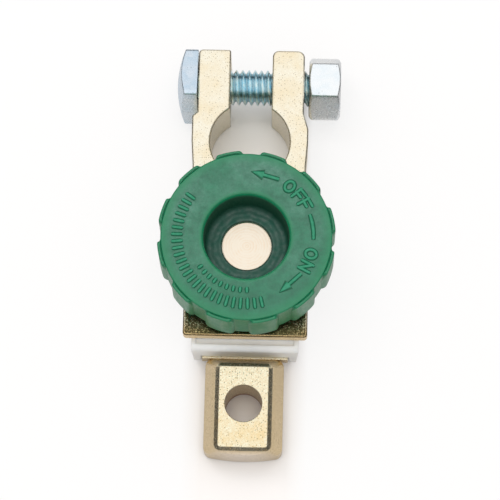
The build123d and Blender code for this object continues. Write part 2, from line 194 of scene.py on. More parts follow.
def blendColours(owner, share, first, second):
    # The same for colours; a fixed one is red, green and blue, without the alpha
    colours = [(*tone, 1) if isinstance(tone, tuple) else tone for tone in (first, second)]
    return mixNode(owner, "RGBA", (6, 7), share, *colours).outputs[2]


def blendNumbers(owner, share, first, second):
    # The same for numbers
    return mixNode(owner, "FLOAT", (2, 3), share, first, second).outputs[0]


def blendShaders(owner, share, first, second):
    # The same for shaders
    mix = addNode(owner, "ShaderNodeMixShader")
    for source, socket in zip((share, first, second), mix.inputs):
        join(owner, source, socket)
    return mix.outputs["Shader"]


def mathNode(owner, operation, *values):
    # One operation on one or two values
    node = addNode(owner, "ShaderNodeMath", operation=operation)
    for value, socket in zip(values, node.inputs):
        join(owner, value, socket)
    return node.outputs[0]


def productNode(owner, first, *others):
    # All the values multiplied together
    for other in others:
        first = mathNode(owner, "MULTIPLY", first, other)
    return first


def partNode(owner, vector, axis):
    # One of a vector's three numbers
    parts = addNode(owner, "ShaderNodeSeparateXYZ")
    join(owner, vector, parts.inputs["Vector"])
    return parts.outputs[axis]


def coordinateNode(owner, axis, centre=(0, 0, 0)):
    # How far along X, Y or Z from centre, in metres
    return partNode(owner, placeNode(owner, centre), axis)


def radiusNode(owner, centre, stretch=(1, 1, 0)):
    # Distance from an axis through centre, in metres; the stretch is 0 along that axis
    away = addNode(owner, "ShaderNodeVectorMath", operation="LENGTH")
    join(owner, placeNode(owner, centre, stretch), away.inputs[0])
    return away.outputs["Value"]


def ringsNode(owner, place, width, wander):
    # Rings about the upright axis through the place's origin, width millimetres apart. The wave
    # texture repeats every 2 pi / 20 of its scaled distance.
    scale = 2 * math.pi / 20 / (width * mm)
    values = {"Scale": scale, "Distortion": wander, "Detail": 4.0, "Detail Scale": 1.6}
    rings = addNode(owner, "ShaderNodeTexWave", values, wave_type="RINGS", rings_direction="Z")
    join(owner, place, rings.inputs["Vector"])
    return rings.outputs["Fac"]


def upwardNode(owner, slopes=(0.45, 0.62)):
    # 1 on faces that look up, 0 on walls, by the height of the face's normal
    surface = addNode(owner, "ShaderNodeNewGeometry")
    return rampNode(owner, partNode(owner, surface.outputs["Normal"], "Z"), slopes)


def wearNode(owner, edges, lean=(0.995, 0.95)):
    # 1 along edges: there the rounded normal leans away from the face's own, by their dot product
    surface = addNode(owner, "ShaderNodeNewGeometry")
    product = addNode(owner, "ShaderNodeVectorMath", operation="DOT_PRODUCT")
    join(owner, surface.outputs["Normal"], product.inputs[0])
    join(owner, edges, product.inputs[1])
    return rampNode(owner, product.outputs["Value"], lean)


def bandNode(owner, axis, low, high, blur):
    # 1 between two places along an axis, in millimetres, fading over blur at both ends
    along = coordinateNode(owner, axis)
    rise = spanNode(owner, along, (low - blur, low))
    return productNode(owner, rise, spanNode(owner, along, (high, high + blur), (1, 0)))


def specksNode(owner, place, spacing, size, share, core=0.6, fade=0.03):
    # Round specks in a share of the cells of a pattern: 1 inside a speck's core, 0 between them. A
    # cell has one when its random number is above 1 - share, and size is a share of the spacing.
    cells = addNode(owner, "ShaderNodeTexVoronoi", {"Scale": 1 / (spacing * mm)}, feature="F1")
    join(owner, place, cells.inputs["Vector"])
    pick = addNode(owner, "ShaderNodeSeparateColor")
    join(owner, cells.outputs["Color"], pick.inputs["Color"])
    inside = rampNode(owner, cells.outputs["Distance"], (size * core, size), (1, 0))
    chosen = rampNode(owner, pick.outputs["Red"], (1 - fade - share, 1 - share))
    return productNode(owner, inside, chosen)


def bumpNode(owner, height, depth, under=None):
    # Raises the surface by depth millimetres where height is 1, on top of another normal if given
    bump = addNode(owner, "ShaderNodeBump", {"Strength": 1.0, "Distance": depth * mm})
    join(owner, height, bump.inputs["Height"])
    if under is not None:
        join(owner, under, bump.inputs["Normal"])
    return bump.outputs["Normal"]


def softEdges(owner, radius):
    # The normal that the edges would have if they were rounded by this radius
    return addNode(owner, "ShaderNodeBevel", {"Radius": radius * mm}, samples=4).outputs["Normal"]


# Plated castings: warm metal with a faint sand-cast grain, dark specks and a slow change of tone.
# Walls get darker tones than the faces that look up, which is painted shade; the fronts get painted light and
# shade, and a band of painted shade lies on faces that look up, kept off the edges.
clampFinish = {
    "bright": (1.0, 0.95, 0.80),
    "deep": (0.97, 0.86, 0.64),
    "cloud": {"grain": 4.5},
    "grain": {"grain": 0.34, "detail": 5, "rough": 0.7},
    "grainDepth": 0.016,
    "roughness": (0.28, 0.2),
    "edge": 0.35,
    "glint": 0.26,
    "glintTone": (0.80, 0.66, 0.42),
    # Walls: darker tones than the faces that look up, as painted shade
    "wallTone": (0.945, 0.87, 0.70),
    "wallDeep": (0.84, 0.75, 0.56),
    "wallGrains": (0.38, 0.62),
    "wallShare": (0, 0.5),
    # Front: deeper gold on the plate's front edge under the knob, a painted shade
    "frontPaintedLightTone": (0.88, 0.66, 0.34),
    "frontFade": (-40.5, -43.5),
    # A band of painted shade on the plate under the knob: its shadow and its dark reflection
    "paintedShade": {"span": (-46.0, -38.0, 4.0), "width": (-14.0, 14.0, 0.5), "grains": (0.52, 0.6),
              "grainBreak": 0.85, "onEdges": 0.05},
    "paintedShadeTone": (0.13, 0.098, 0.04),
    "specks": {"spacing": 0.45, "size": 0.3, "share": 0.5},
    "speckStrength": 0.6,
    "speckTone": (0.42, 0.32, 0.18),
    "speckDepth": 0.02,
}
terminalFinish = {
    "bright": (1.0, 0.965, 0.76),
    "deep": (0.98, 0.76, 0.41),
    "deepFade": (-71.0, -55.0),
    "deepLeft": 0.1,
    "cloud": {"grain": 3.2},
    "grain": {"grain": 0.3, "detail": 5, "rough": 0.7},
    "grainDepth": 0.018,
    "roughness": (0.3, 0.2),
    "edge": 0.25,
    "glint": 0.5,
    "glintTone": (0.84, 0.58, 0.24),
    # Walls: much darker tones than the faces that look up, as painted shade
    "wallTone": (0.75, 0.60, 0.37),
    "wallDeep": (0.62, 0.48, 0.25),
    "wallGrains": (0.38, 0.62),
    "wallShare": (0, 0.5),
    # Painted shade at the foot of the bolt hole's wall, a dark brown band
    "foot": {"rise": (1.3, 1.6), "centre": (0, -58.85), "reach": (4.2, 4.5)},
    "footShadeTone": (0.34, 0.12, 0.03),
    # Front: a lighter, pinker tone on the block's front, a painted reflection of the floor
    "frontPaintedLightTone": (1.0, 0.90, 0.79),
    "frontFade": (-69.2, -70.2),
    # A band of painted shade on the block's rear bevel: a dark reflection
    "paintedShade": {"span": (-50.5, -49.75, 0.25), "width": (-5.4, 5.4, 0.5), "grains": (0.5, 0.6),
              "grainBreak": 0.4, "onEdges": 1.0},
    "paintedShadeTone": (0.045, 0.06, 0.025),
    "specks": {"spacing": 0.42, "size": 0.3, "share": 0.6},
    "speckStrength": 0.8,
    "speckTone": (0.30, 0.20, 0.07),
    "speckDepth": 0.02,
}


def footNode(material, rise, centre, reach):
    # 1 on the lowest part of a hole's wall, where painted shade goes: low enough, and near enough to the
    # hole's axis
    low = spanNode(material, coordinateNode(material, "Z"), rise, (1, 0))
    inside = spanNode(material, radiusNode(material, (*centre, 0)), reach, (1, 0))
    return productNode(material, low, inside)


def paintedShadeNode(material, grain, upward, edges, span, width, grains, grainBreak, onEdges):
    # The painted shade's share: 1 between two places along Y and along X on faces that look up, broken by
    # grains and kept off the edges
    lengthwise, crosswise = bandNode(material, "Y", *span), bandNode(material, "X", *width)
    grainy = rampNode(material, grain, grains, (1, 1 - grainBreak))
    rubbed = rampNode(material, wearNode(material, edges), (0, 1), (1, onEdges))
    return productNode(material, lengthwise, upward, crosswise, grainy, rubbed)


def platedCasting(name, finish):
    # The bright and the deep tone in clouds, with glints; then the walls' painted shade with the painted
    # shade at a hole's foot, the front's painted light and shade, a band of painted shade, and specks over
    # them
    material, shader = startMaterial(name, Metallic=1.0)
    place, along = placeNode(material), coordinateNode(material, "Y")
    cloud = noiseNode(material, place, **finish["cloud"])
    grain = noiseNode(material, place, **finish["grain"])
    edges = softEdges(material, finish["edge"])
    upward = upwardNode(material)
    share = rampNode(material, cloud, middlePart)
    if "deepFade" in finish:
        fade = spanNode(material, along, finish["deepFade"], (1, finish["deepLeft"]))
        share = productNode(material, share, fade)
    tone = blendColours(material, share, finish["bright"], finish["deep"])
    glint = rampNode(material, grain, narrowPart, (finish["glint"], 0))
    tone = blendColours(material, glint, tone, finish["glintTone"])
    dull = rampNode(material, grain, finish["wallGrains"], finish["wallShare"])
    walls = blendColours(material, dull, finish["wallTone"], finish["wallDeep"])
    if "foot" in finish:
        walls = blendColours(material, footNode(material, **finish["foot"]), walls, finish["footShadeTone"])
    # The darker wall tones on faces that don't look up are painted shade
    tone = blendColours(material, upward, walls, tone)
    # The front's tone is painted light and shade
    front = spanNode(material, along, finish["frontFade"])
    tone = blendColours(material, front, tone, finish["frontPaintedLightTone"])
    # Painted shade in a band, broken by grains and kept off the edges
    paintedShade = paintedShadeNode(material, grain, upward, edges, **finish["paintedShade"])
    tone = blendColours(material, paintedShade, tone, finish["paintedShadeTone"])
    specks = specksNode(material, place, **finish["specks"])
    shown = rampNode(material, specks, (0, 1), (0, finish["speckStrength"]))
    join(material, blendColours(material, shown, tone, finish["speckTone"]), shader.inputs["Base Color"])
    join(material, rampNode(material, grain, broadPart, finish["roughness"]), shader.inputs["Roughness"])
    normal = bumpNode(material, grain, finish["grainDepth"], under=edges)
    normal = bumpNode(material, specks, -finish["speckDepth"], under=normal)
    join(material, normal, shader.inputs["Normal"])
    return material


# Turned brass: rings left by the tool's point round the knob's axis, stronger in patches
brassFinish = {
    "pale": (1.0, 0.90, 0.755),
    "deep": (0.97, 0.82, 0.64),
    "rings": {"width": 0.6, "wander": 3.4},
    "ringDepth": 0.008,
    "patches": {"grain": 2.2, "detail": 3},
    "patchPart": (0.38, 0.62),
    "patchShare": (0.15, 1),
    "worn": (0.98, 0.84, 0.67),
    "wornPart": (0.5, 0.75),
    "wornShare": (0, 0.3),
    "roughness": 0.33,
}


def turnedBrass(name, finish, axis):
    # Pale, and deeper along the rings by the patches' share, then worn where the patches are high
    material, shader = startMaterial(name, Metallic=1.0, Roughness=finish["roughness"])
    place = placeNode(material, (*axis, 0))
    rings = ringsNode(material, place, **finish["rings"])
    patches = noiseNode(material, place, **finish["patches"])
    share = rampNode(material, patches, finish["patchPart"], finish["patchShare"])
    tone = blendColours(material, productNode(material, rings, share), finish["pale"], finish["deep"])
    worn = rampNode(material, patches, finish["wornPart"], finish["wornShare"])
    join(material, blendColours(material, worn, tone, finish["worn"]), shader.inputs["Base Color"])
    join(material, bumpNode(material, rings, finish["ringDepth"]), shader.inputs["Normal"])
    return material


# Blue zinc plate: pale steel with a bluer film in patches, which lies thicker on the bolt's thread
zincFinish = {
    "patches": {"grain": 2.6, "twist": 0.6},
    "patchPart": (0.35, 0.7),
    "grain": {"grain": 0.35, "rough": 0.7},
    "grainDepth": 0.014,
    "roughness": (0.22, 0.36),
    "edge": 0.2,
    "specks": {"spacing": 0.8, "size": 0.2, "share": 0.25},
    "speckStrength": 0.6,
    "speckTone": (0.25, 0.28, 0.3),
}
boltFilm = {"pale": (0.76, 0.85, 0.94), "blue": (0.58, 0.74, 0.88), "film": 0.8}
nutFilm = {"pale": (0.96, 0.985, 1.0), "blue": (0.76, 0.88, 0.96), "film": 0.5}
screwFilm = {"pale": (0.86, 0.89, 0.90), "blue": (0.66, 0.75, 0.80), "film": 0.5}
threadFilmAndRootShade = {
    "fade": (-12.2, -11.8),
    "light": (0.90, 1.0, 1.0),
    "deep": (0.52, 0.84, 0.98),
    # Painted shade in the thread's roots, below a distance from the axis
    "roots": (3.2, 3.5),
    "rootShadeTone": (0.38, 0.56, 0.64),
}


def threadTone(material, patches, thread):
    # Light and deep film in patches, with painted shade in the roots by the distance from the bolt's axis
    tone = blendColours(material, rampNode(material, patches, middlePart), thread["light"], thread["deep"])
    radius = radiusNode(material, (0, *boltAxis), stretch=(0, 1, 1))
    return blendColours(material, spanNode(material, radius, thread["roots"]), thread["rootShadeTone"], tone)


def zincPlate(name, finish, pale, blue, film, thread=None):
    # Pale blended to blue by film times the patches, then the thread's film from a place along the
    # bolt on, then the specks
    material, shader = startMaterial(name, Metallic=1.0)
    place = placeNode(material)
    patches = noiseNode(material, place, **finish["patches"])
    grain = noiseNode(material, place, **finish["grain"])
    tone = blendColours(material, rampNode(material, patches, finish["patchPart"], (0, film)), pale, blue)
    if thread is not None:
        along = spanNode(material, coordinateNode(material, "X"), thread["fade"])
        tone = blendColours(material, along, tone, threadTone(material, patches, thread))
    specks = specksNode(material, place, **finish["specks"])
    shown = rampNode(material, specks, (0, 1), (0, finish["speckStrength"]))
    join(material, blendColours(material, shown, tone, finish["speckTone"]), shader.inputs["Base Color"])
    join(material, rampNode(material, grain, broadPart, finish["roughness"]), shader.inputs["Roughness"])
    normal = bumpNode(material, grain, finish["grainDepth"], under=softEdges(material, finish["edge"]))
    join(material, normal, shader.inputs["Normal"])
    return material


# Spring steel of the retaining ring: dark, with an uneven gloss
springFinish = {
    "tone": (0.32, 0.32, 0.34),
    "grain": {"grain": 0.3},
    "roughness": (0.25, 0.4),
}


def springSteel(name, finish):
    # One dark tone, whose roughness follows a fine noise
    material, shader = startMaterial(name, Metallic=1.0, Base_Color=(*finish["tone"], 1))
    grain = noiseNode(material, placeNode(material), **finish["grain"])
    join(material, rampNode(material, grain, broadPart, finish["roughness"]), shader.inputs["Roughness"])
    return material


# Green moulding: satin plastic, hazy and scuffed on its flats, with a painted sheen that grows towards +Y and
# a painted glow of bright green along its rims
knobFinish = {
    "body": {"Subsurface_Weight": 0.12, "Subsurface_Scale": 0.0012, "Subsurface_Radius": (0.25, 1.0, 0.6),
             "IOR": 1.66},
    "light": (0.003, 0.165, 0.077),
    "dark": (0.002, 0.112, 0.054),
    "mottle": {"grain": 1.9, "detail": 6, "rough": 0.62},
    "mottlePart": (0.35, 0.66),
    "mottleDepth": 0.05,
    "hazeAndSheen": (0.16, 0.29, 0.25),
    "hazePatches": {"grain": 9.0, "detail": 3},
    "patchPart": (0.35, 0.62),
    "patchShare": (0.25, 1),
    "mottleShare": (0.3, 1),
    "dust": {"grain": 0.5, "detail": 5, "rough": 0.75},
    "dustShare": (0.2, 0.68),
    "dustDepth": 0.02,
    # The haze grows towards +Y, a painted sheen
    "paintedSheenFade": (-38.0, -9.0),
    "paintedSheenShare": (0.3, 1.15),
    "scuffs": {"grain": 3.4, "detail": 6, "rough": 0.8, "twist": 0.4},
    "scuffStretch": (1.0, 7.0, 1.0),
    "roughness": (0.28, 0.42),
    # A painted glow of bright green along the rims
    "paintedRimGlow": (0.001, 0.185, 0.074),
    "paintedRimGlowShare": (0, 0.8),
    "rims": ((16.3, 18.2), (10.5, 9.8)),
}


def greenMoulding(name, finish, axis):
    # Light and dark green in a mottle, under a haze that is the product of patches, mottle, dust and
    # a fade along Y: the haze is dust and scuffs, and its rise along Y is a painted sheen. Bright pure green
    # is painted along the two rims by the distance from the knob's axis, as a glow of light through the
    # plastic.
    material, shader = startMaterial(name, **finish["body"])
    place = placeNode(material)
    mottle = noiseNode(material, place, **finish["mottle"])
    patches = noiseNode(material, place, **finish["hazePatches"])
    dust = noiseNode(material, place, **finish["dust"])
    scuffs = noiseNode(material, placeNode(material, stretch=finish["scuffStretch"]), **finish["scuffs"])
    mottled = rampNode(material, mottle, finish["mottlePart"])
    tone = blendColours(material, mottled, finish["dark"], finish["light"])
    hazeAndSheen = productNode(
        material,
        rampNode(material, patches, finish["patchPart"], finish["patchShare"]),
        rampNode(material, mottle, broadPart, finish["mottleShare"]),
        rampNode(material, dust, broadPart, finish["dustShare"]),
        spanNode(material, coordinateNode(material, "Y"), finish["paintedSheenFade"], finish["paintedSheenShare"]),
    )
    tone = blendColours(material, hazeAndSheen, tone, finish["hazeAndSheen"])
    radius = radiusNode(material, (*axis, 0))
    # Painted glow along the two rims
    for rim in finish["rims"]:
        paintedRimGlow = spanNode(material, radius, rim, finish["paintedRimGlowShare"])
        tone = blendColours(material, paintedRimGlow, tone, finish["paintedRimGlow"])
    join(material, tone, shader.inputs["Base Color"])
    join(material, rampNode(material, scuffs, middlePart, finish["roughness"]), shader.inputs["Roughness"])
    normal = bumpNode(material, mottle, finish["mottleDepth"])
    join(material, bumpNode(material, dust, finish["dustDepth"], under=normal), shader.inputs["Normal"])
    return material


# The dish: the same green, dull from the tool that cut it, with dust on its floor. Its wall is
# painted darker, as shade in the recess, and brighter near the rim, as painted light; painted shade lies
# round the stud's end and at the wall's foot. Reaches are distances from the knob's axis, and rises are
# heights above the dish's floor.
dishFinish = {
    "body": {"Roughness": 0.62, "Specular_IOR_Level": 0.22},
    # The wall's dark green is painted shade of the recess
    "wall": (0.002, 0.062, 0.030),
    "rubbed": (0.03, 0.10, 0.072),
    "rubs": {"grain": 0.35, "rough": 0.7},
    "rubStretch": (1.0, 1.0, 0.12),
    "rubPart": (0.4, 0.7),
    "rubShare": (0, 0.35),
    "rubDepth": 0.02,
    # Painted light: bright green on the upper wall and the rim
    "paintedRimLightTone": (0.002, 0.27, 0.115),
    "rimRise": (6.4, 8.2),
    "rimRiseShare": (0, 0.95),
    "rimReach": (9.42, 9.6),
    "rimReachShare": (0, 0.9),
    "floor": (0.032, 0.120, 0.086),
    "floorRise": (1.2, 0.2),
    "dust": (0.118, 0.180, 0.155),
    "mottle": {"grain": 1.6},
    "mottlePart": (0.35, 0.7),
    "rings": {"width": 1.25, "wander": 3.5},
    "ringPart": (0.2, 0.8),
    "ringShare": (0.5, 0),
    "ringTone": (0.012, 0.078, 0.050),
    # A painted shadow round the stud's end
    "studReach": (5.5, 5.85),
    "studShare": (0.9, 0),
    "studTone": (0.004, 0.020, 0.012),
    # Painted shade at the wall's foot
    "wallReach": (8.0, 9.0),
    "wallShare": (0, 0.75),
    "wallTone": (0.003, 0.050, 0.028),
}


def dishWall(material, finish, rubs, rise):
    # Rubbed dark green, painted darker as shade in the recess, which turns to the rim's painted light, a
    # bright green, with the rise
    rubbed = rampNode(material, rubs, finish["rubPart"], finish["rubShare"])
    wall = blendColours(material, rubbed, finish["wall"], finish["rubbed"])
    nearRim = spanNode(material, rise, finish["rimRise"], finish["rimRiseShare"])
    return blendColours(material, nearRim, wall, finish["paintedRimLightTone"])


def dustyFloor(material, finish, axis, away):
    # Dust in a mottle, darker along the rings, with painted shade round the stud's end and at the wall's foot
    mottle = noiseNode(material, placeNode(material), **finish["mottle"])
    mottled = rampNode(material, mottle, finish["mottlePart"])
    tone = blendColours(material, mottled, finish["floor"], finish["dust"])
    rings = ringsNode(material, placeNode(material, (*axis, 0)), **finish["rings"])
    shaded = rampNode(material, rings, finish["ringPart"], finish["ringShare"])
    tone = blendColours(material, shaded, tone, finish["ringTone"])
    for edge in ("stud", "wall"):
        shaded = spanNode(material, away, finish[edge + "Reach"], finish[edge + "Share"])
        tone = blendColours(material, shaded, tone, finish[edge + "Tone"])
    return tone


def greenDish(name, finish, axis, floor):
    # The wall, then the floor below a low rise, then the rim's painted light by its distance from the axis
    material, shader = startMaterial(name, **finish["body"])
    rubs = noiseNode(material, placeNode(material, stretch=finish["rubStretch"]), **finish["rubs"])
    away = radiusNode(material, (*axis, 0))
    rise = coordinateNode(material, "Z", (0, 0, floor))
    wall, dusty = dishWall(material, finish, rubs, rise), dustyFloor(material, finish, axis, away)
    tone = blendColours(material, spanNode(material, rise, finish["floorRise"]), wall, dusty)
    rim = spanNode(material, away, finish["rimReach"], finish["rimReachShare"])
    join(material, blendColours(material, rim, tone, finish["paintedRimLightTone"]), shader.inputs["Base Color"])
    join(material, bumpNode(material, rubs, finish["rubDepth"]), shader.inputs["Normal"])
    return material


# Raised marks: their own green on their tops, with painted shade where they meet the face
markFinish = {
    "body": {"Roughness": 0.36, "IOR": 1.5},
    # Painted shade at the marks' foot
    "paintedShade": (0.001, 0.085, 0.038),
    "top": (0.008, 0.195, 0.095),
    "rubbed": (0.022, 0.24, 0.130),
    "rubs": {"grain": 0.8},
    "shadeToTopShare": (0.2, 0.9),
}


def markedGreen(name, finish, face, height):
    # From painted shade at the foot to the rubbed top between two shares of the marks' height above the face
    material, shader = startMaterial(name, **finish["body"])
    rises = [share * height for share in finish["shadeToTopShare"]]
    rise = spanNode(material, coordinateNode(material, "Z", (0, 0, face)), rises)
    rubs = rampNode(material, noiseNode(material, placeNode(material), **finish["rubs"]), middlePart)
    top = blendColours(material, rubs, finish["top"], finish["rubbed"])
    join(material, blendColours(material, rise, finish["paintedShade"], top), shader.inputs["Base Color"])
    return material


# White nylon: milky satin moulding
nylonFinish = {
    "body": {"Subsurface_Weight": 0.25, "Subsurface_Scale": 0.0018, "Subsurface_Radius": (1.0, 0.9, 0.8),
             "IOR": 1.53},
    "light": (0.805, 0.805, 0.79),
    "shade": (0.735, 0.735, 0.725),
    "cloud": {"grain": 5.0, "detail": 3},
    "grain": {"grain": 0.5},
    "grainDepth": 0.02,
    "roughness": (0.3, 0.42),
    "edge": 0.35,
}


def whiteNylon(name, finish):
    # Two near whites in slow clouds, with a fine grain over softened edges
    material, shader = startMaterial(name, **finish["body"])
    place = placeNode(material)
    cloud = rampNode(material, noiseNode(material, place, **finish["cloud"]), broadPart)
    grain = noiseNode(material, place, **finish["grain"])
    tone = blendColours(material, cloud, finish["light"], finish["shade"])
    join(material, tone, shader.inputs["Base Color"])
    join(material, rampNode(material, grain, broadPart, finish["roughness"]), shader.inputs["Roughness"])
    normal = bumpNode(material, grain, finish["grainDepth"], under=softEdges(material, finish["edge"]))
    join(material, normal, shader.inputs["Normal"])
    return material


clampMetal = platedCasting("clampMetal", clampFinish)
terminalMetal = platedCasting("terminalMetal", terminalFinish)
studMetal = turnedBrass("studMetal", brassFinish, knobAxis)
boltZinc = zincPlate("boltZinc", zincFinish, **boltFilm, thread=threadFilmAndRootShade)
nutZinc = zincPlate("nutZinc", zincFinish, **nutFilm)
screwZinc = zincPlate("screwZinc", zincFinish, **screwFilm)
ringSteel = springSteel("ringSteel", springFinish)
knobGreen = greenMoulding("knobGreen", knobFinish, knobAxis)
bodyNylon = whiteNylon("bodyNylon", nylonFinish)
print("finishes made")


# Surfaces: grid[i, j] is the point at station i and step j round the section, in millimetres
def gridShell(grid, loop=False):
    # Quads between neighbouring stations and steps. A loop joins the last station to the first;
    # otherwise each end closes with a fan to its middle.
    stations, steps = grid.shape[:2]
    row, step = np.meshgrid(np.arange(stations if loop else stations - 1), np.arange(steps), indexing="ij")
    nextRow, nextStep = (row + 1) % stations, (step + 1) % steps
    corners = (row * steps + step, row * steps + nextStep, nextRow * steps + nextStep, nextRow * steps + step)
    faces = np.stack(corners, axis=-1).reshape(-1, 4).tolist()
    points = grid.reshape(-1, 3)
    if not loop:
        rim = np.arange(steps)
        rimNext = (rim + 1) % steps
        first, last = len(points), len(points) + 1
        points = np.vstack([points, grid[0].mean(axis=0), grid[-1].mean(axis=0)])
        faces += np.stack([np.full(steps, first), rimNext, rim], axis=-1).tolist()
        end = (stations - 1) * steps
        faces += np.stack([np.full(steps, last), end + rim, end + rimNext], axis=-1).tolist()
    return points, faces


def signedVolume(points, faces):
    # Sum over triangles of a . (b x c) / 6
    total = 0.0
    for corners in (3, 4):
        picked = np.array([face for face in faces if len(face) == corners], int).reshape(-1, corners)
        for k in range(1, corners - 1):
            a, b, c = points[picked[:, 0]], points[picked[:, k]], points[picked[:, k + 1]]
            total += np.einsum("ij,ij->i", a, np.cross(b, c)).sum() / 6
    return total


def makePiece(name, shells, material, body, replaced=(), crease=38):
    # One mesh from closed shells. A shell whose volume comes out negative is inside out, so its faces
    # are turned round. Edges sharper than crease degrees stay sharp in shading.
    points, faces = [], []
    start = 0
    for shellPoints, shellFaces in shells:
        if signedVolume(shellPoints, shellFaces) < 0:
            shellFaces = [face[::-1] for face in shellFaces]
        points.append(shellPoints)
        faces += [[start + corner for corner in face] for face in shellFaces]
        start += len(shellPoints)
    mesh = bpy.data.meshes.new(name)
    mesh.from_pydata((np.vstack(points) * mm).tolist(), [], faces)
    mesh.polygons.foreach_set("use_smooth", [True] * len(mesh.polygons))
    mesh.set_sharp_from_angle(angle=math.radians(crease))
    mesh.materials.append(material)
    piece = placeObject(name, mesh)
    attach(piece, body)
    if replaced:
        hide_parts(*replaced)
    print("made", name, "with", len(faces), "faces")
    return piece


def roundedLine(corners, loop=False, steps=7, further=1.2):
    # Each corner (x, y, reach) becomes a parabola that leaves the two straight sides at reach from it,
    # with one more point a little further out on each side so that the flats stay flat in shading
    spots = np.array([corner[:2] for corner in corners], float)
    t = np.linspace(0, 1, steps)[:, None]
    line = []
    for i, corner in enumerate(corners):
        here, reach = spots[i], corner[2]
        if reach == 0 or (not loop and i in (0, len(corners) - 1)):
            line.append(here[None])
            continue
        before, after = spots[i - 1] - here, spots[(i + 1) % len(spots)] - here
        before, after = before / np.linalg.norm(before) * reach, after / np.linalg.norm(after) * reach
        curve = (1 - t) ** 2 * (here + before) + 2 * t * (1 - t) * here + t ** 2 * (here + after)
        line += [(here + before * further)[None], curve, (here + after * further)[None]]
    return np.vstack(line)


def hexagonRadius(angle, acrossFlats, turn=0.0):
    # A hexagon's radius at an angle is half its flats over the cosine of the angle from a flat's middle
    fromFlat = (np.degrees(angle) - turn) % 60 - 30
    return acrossFlats / 2 / np.cos(np.radians(fromFlat))


# Knob: one closed surface swept round its axis, whose outer wall swells into the grip lobes
knobShape = {
    "faceRadius": 18.6,
    "topEdge": 0.6,
    "bottomEdge": 0.35,
    "markHeight": 0.35,
    "turn": 13.0,
    "lobes": 12,
    "lobeRadius": 19.35,
    "lobeHalfAngle": 6.4,
    "lobeFootAngle": 10.6,
    "lobeSwell": 2.6,
    "lobeDrop": 0.5,
    "lobeEdge": 0.5,
    "notchDrops": (0.6, 1.2, 3.5),
    "groove": 0.14,
    "creaseRound": 0.06,
    "dishRadius": 9.4,
    "dishFootRadius": 9.05,
    "dishDepth": 8.8,
    "rimRound": 0.9,
    "footRound": 1.1,
    "holeRadius": 5.45,
    "holeRound": 0.12,
    "hubRadius": 11.4,
    "skirtWall": 2.4,
    "skirtEdge": 0.2,
    "roof": 2.6,
    "roofRound": 0.5,
    "ribHalfAngle": 2.5,
    "ribInset": 1.5,
    "seatDepth": 1.9,
    "seatWall": 2.0,
    "seatAcrossFlats": 12.6,
    # Steps round half a lobe: one to each side of the rib's end, two on the flat, then shares of the
    # sloped end, and one a little past the middle of what is left of the notch
    "ribStep": 0.1,
    "flatSteps": (3.6, 4.8),
    "slopeShares": (-0.1, 0.1, 0.28, 0.44, 0.58, 0.7, 0.8, 0.88, 0.95, 1.0, 1.06),
    "notchStep": 0.4,
}
faceHeight = knobHigh[2] - knobShape["markHeight"]
dishFloor = knobHigh[2] - knobShape["dishDepth"]


def knobAngles(shape):
    # Steps round the knob in degrees, closer together on the sloped ends of each lobe: their angles
    # from the first lobe's middle, and from their own lobe's middle
    half, foot, rib = (shape[k] for k in ("lobeHalfAngle", "lobeFootAngle", "ribHalfAngle"))
    pitch = 360 / shape["lobes"]
    side = np.concatenate([
        [0, rib - shape["ribStep"], rib + shape["ribStep"], *shape["flatSteps"]],
        half + (foot - half) * np.array(shape["slopeShares"]),
        [(foot + pitch / 2) / 2 + shape["notchStep"]],
    ])
    local = np.concatenate([-side[:0:-1], side, [pitch / 2]])
    turned = np.arange(shape["lobes"])[:, None] * pitch + local[None]
    return turned.ravel(), np.tile(local, shape["lobes"])


def knobSections(shape):
    # Three closed outlines (radius, height) with the same points: at a notch, a lobe and a rib below
    face, lobe, hub, hole = (shape[k] for k in ("faceRadius", "lobeRadius", "hubRadius", "holeRadius"))
    bottom, shelf = knobLow[2], knobHigh[2] - shape["lobeDrop"]
    skirt, core, seat = face - shape["skirtWall"], hole + shape["seatWall"], bottom + shape["seatDepth"]
    crease, groove = shape["creaseRound"], shape["groove"]
    upper, middle, lower = (shelf - drop for drop in shape["notchDrops"])

    def under(inset, height):
        # From the skirt's foot to the hub's, by way of a height between them
        return [
            (skirt, bottom, shape["skirtEdge"]),
            (skirt - inset, height, shape["roofRound"]),
            (hub + inset, height, shape["roofRound"]),
            (hub, bottom, shape["skirtEdge"]),
        ]

    dish = [
        (hole, dishFloor, shape["holeRound"]),
        (shape["dishFootRadius"], dishFloor, shape["footRound"]),
        (shape["dishRadius"], faceHeight, shape["rimRound"]),
    ]
    outerLobe = [
        (face, faceHeight, shape["topEdge"]),
        (face, shelf - groove, crease),
        (face + groove, shelf, crease),
        (lobe, shelf, shape["lobeEdge"]),
        (lobe, bottom, shape["bottomEdge"]),
    ]
    outerNotch = [
        (face, faceHeight, shape["topEdge"]),
        (face, upper, crease),
        (face, middle, crease),
        (face, lower, shape["lobeEdge"]),
        (face, bottom, shape["bottomEdge"]),
    ]
    hollow = under(0, knobHigh[2] - shape["roof"])
    rib = under(shape["ribInset"], bottom)
    stud = [(core, bottom, 0), (core, seat, 0), (hole, seat, 0)]
    pairs = ((outerNotch, hollow), (outerLobe, hollow), (outerNotch, rib))
    return [roundedLine(dish + outer + below + stud, loop=True) for outer, below in pairs]


